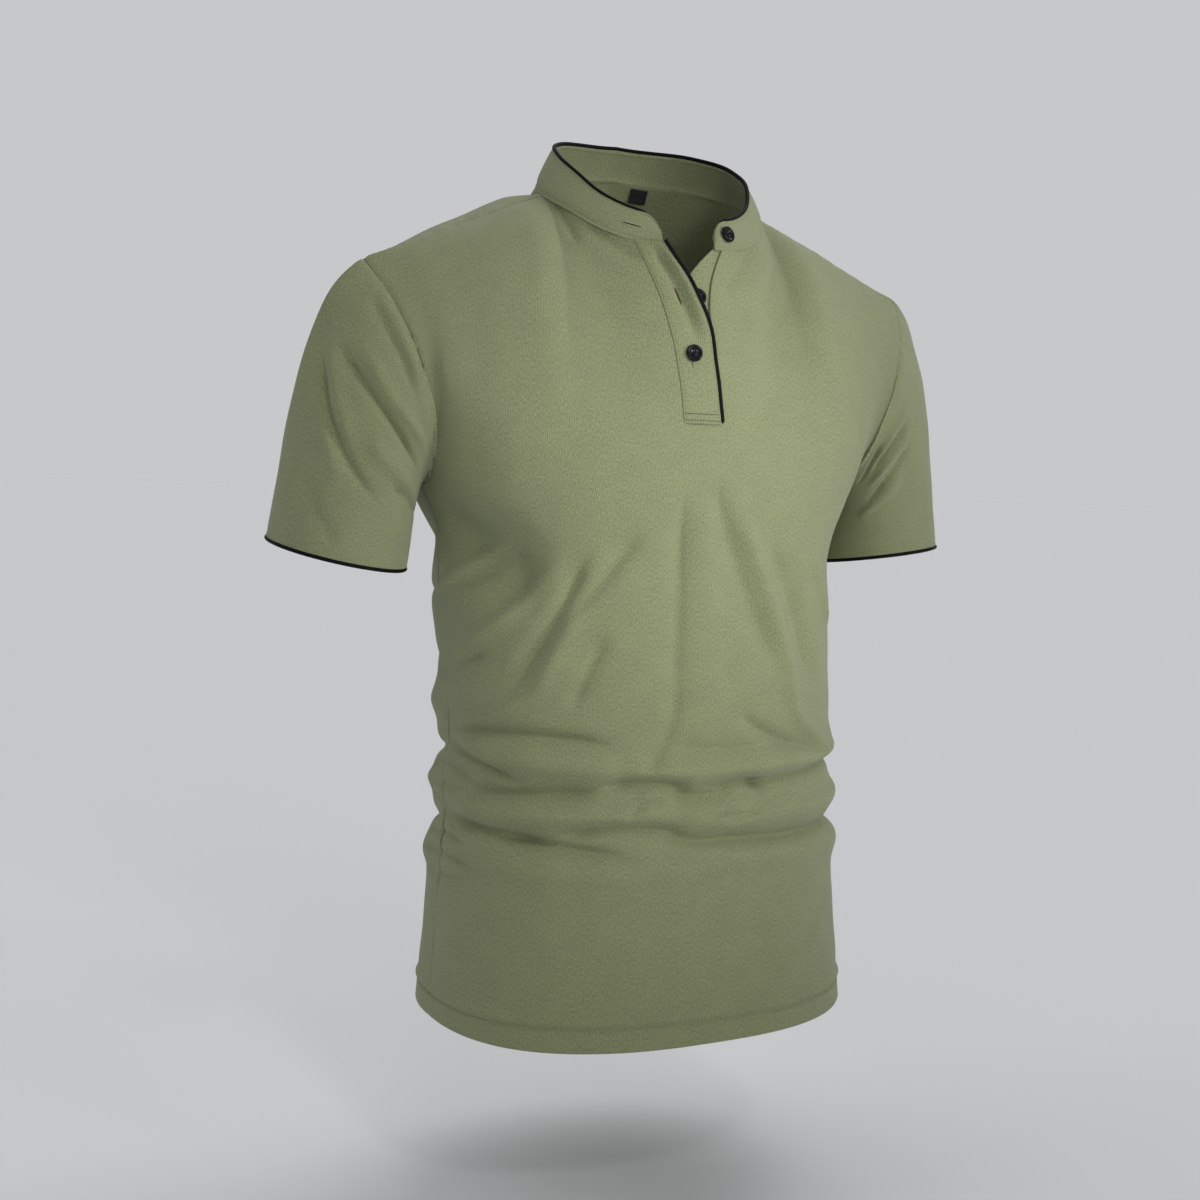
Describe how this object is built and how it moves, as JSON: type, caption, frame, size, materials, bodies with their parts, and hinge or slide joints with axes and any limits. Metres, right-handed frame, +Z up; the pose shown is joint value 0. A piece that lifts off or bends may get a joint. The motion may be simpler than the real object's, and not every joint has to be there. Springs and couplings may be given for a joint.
{
  "type": "short-sleeved polo shirt with a stand collar, in its worn form",
  "caption": "Worn hollow polo shirt: stand collar spread open at a half placket, short sleeves, narrow piped edges, straight hem, soft rolls at the waist.",
  "frame": {"origin": "midway between the neck ends of the two shoulder seams, where the garment hangs on the wearer's shoulders", "axes": "+Z up along the garment's length, -Y out of its front, +X to the wearer's left"},
  "size_m": [0.546, 0.2638, 0.6406],
  "materials": {
    "knit": "fine ribbed knit, olive green with a faint paler fleck, soft dry sheen",
    "knit_band": "the same knit, doubled and pressed, with edge stitching",
    "piping": "black woven cord piping, slightly satin",
    "button": "black polished resin with a turned rim",
    "label": "black woven tape, bare"
  },
  "bodies": {
    "root": {"front": "knit", "back": "knit", "sleeve_right": "knit", "sleeve_left": "knit", "collar_band": "knit_band", "placket_upper": "knit_band", "placket_under": "knit_band", "collar_piping": "piping", "placket_piping": "piping", "sleeve_piping_right": "piping", "sleeve_piping_left": "piping", "button_collar": "button", "button_middle": "button", "button_lower": "button", "neck_label": "label"}
  },
  "joints": []
}
